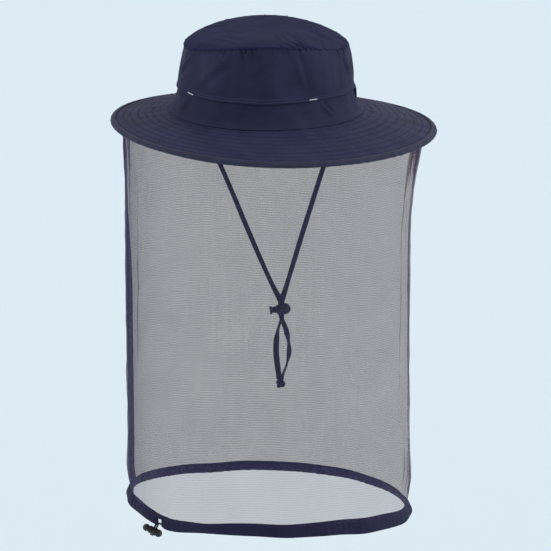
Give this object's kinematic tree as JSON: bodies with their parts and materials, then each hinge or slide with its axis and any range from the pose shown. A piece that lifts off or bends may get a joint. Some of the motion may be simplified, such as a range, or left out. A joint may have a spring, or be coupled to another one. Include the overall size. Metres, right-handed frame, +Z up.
{
  "type": "beekeeping veil",
  "caption": "Bucket hat with a stiffened brim and a long tube of fine netting that falls to a drawcord hem, with a chin strap and cord locks.",
  "frame": {"origin": "centre of the head opening, in the plane of the seam between crown and brim", "axes": "+Z up, the wearer looks along -Y, +X is to the left of the wearer"},
  "size_m": [0.345, 0.345, 0.5353],
  "materials": {
    "navy_fabric": "soft woven polyester, matt",
    "brim_fabric": "stitched woven polyester, matt",
    "webbing_tape": "woven tape, matt",
    "netting": "fine see-through netting",
    "vent_mesh": "spacer mesh",
    "lining": "thin woven lining",
    "sweatband": "brushed cotton tape",
    "stiffener": "bonded nonwoven sheet",
    "reflective_thread": "pale reflective thread",
    "cord": "woven cord, matt",
    "black_plastic": "moulded nylon, satin",
    "spring_steel": "spring wire"
  },
  "bodies": {
    "hat": {"crown_top": "navy_fabric", "crown_side": "navy_fabric", "crown_band": "navy_fabric", "crown_vent_mesh": "vent_mesh", "crown_lining": "lining", "sweatband": "sweatband", "hang_tab": "webbing_tape", "bar_tack_1": "reflective_thread", "bar_tack_2": "reflective_thread", "bar_tack_3": "reflective_thread", "bar_tack_4": "reflective_thread", "brim_stiffener": "stiffener", "brim_top_fabric": "brim_fabric", "brim_under_fabric": "brim_fabric", "brim_binding": "webbing_tape", "net": "netting", "net_header_tape": "webbing_tape", "net_seam_tape": "webbing_tape", "chin_anchor_left": "webbing_tape", "chin_anchor_right": "webbing_tape"},
    "hem": {"hem_band": "webbing_tape", "hem_drawcord": "cord", "hem_cord_knot": "cord"},
    "hem_toggle": {"hem_toggle_barrel": "black_plastic", "hem_toggle_spring": "spring_steel"},
    "hem_toggle_button": {"hem_toggle_plunger": "black_plastic"},
    "chin_strap": {"chin_cord_left": "cord", "chin_cord_right": "cord", "chin_knot": "cord"},
    "chin_lock": {"chin_lock_barrel": "black_plastic", "chin_lock_spring": "spring_steel"},
    "chin_lock_button": {"chin_lock_plunger": "black_plastic"}
  },
  "joints": [
    {"name": "hem_lift", "type": "slide", "parent": "hat", "child": "hem", "axis": [0.0656, 0, 0.9978], "range_m": [0, 0.3], "deforming": ["net", "net_seam_tape"]},
    {"name": "hem_toggle_slide", "type": "slide", "parent": "hem", "child": "hem_toggle", "axis": [0.454, 0, 0.891], "range_m": [0, 0.0015]},
    {"name": "hem_toggle_press", "type": "slide", "parent": "hem_toggle", "child": "hem_toggle_button", "axis": [0.891, 0, -0.454], "range_m": [0, 0.0022], "stiffness_N_per_m": 300, "springref_m": -0.002, "deforming": ["hem_toggle_spring"]},
    {"name": "chin_strap_swing", "type": "hinge", "parent": "hat", "child": "chin_strap", "pos_m": [0, -0.045, -0.003], "axis": [1, 0, 0], "range_deg": [-18, 35]},
    {"name": "chin_lock_slide", "type": "slide", "parent": "chin_strap", "child": "chin_lock", "axis": [0, 0, 1], "range_m": [-0.055, 0.1], "deforming": ["chin_cord_left", "chin_cord_right"]},
    {"name": "chin_lock_press", "type": "slide", "parent": "chin_lock", "child": "chin_lock_button", "axis": [1, 0, 0], "range_m": [0, 0.0022], "stiffness_N_per_m": 300, "springref_m": -0.002, "deforming": ["chin_lock_spring"]}
  ]
}
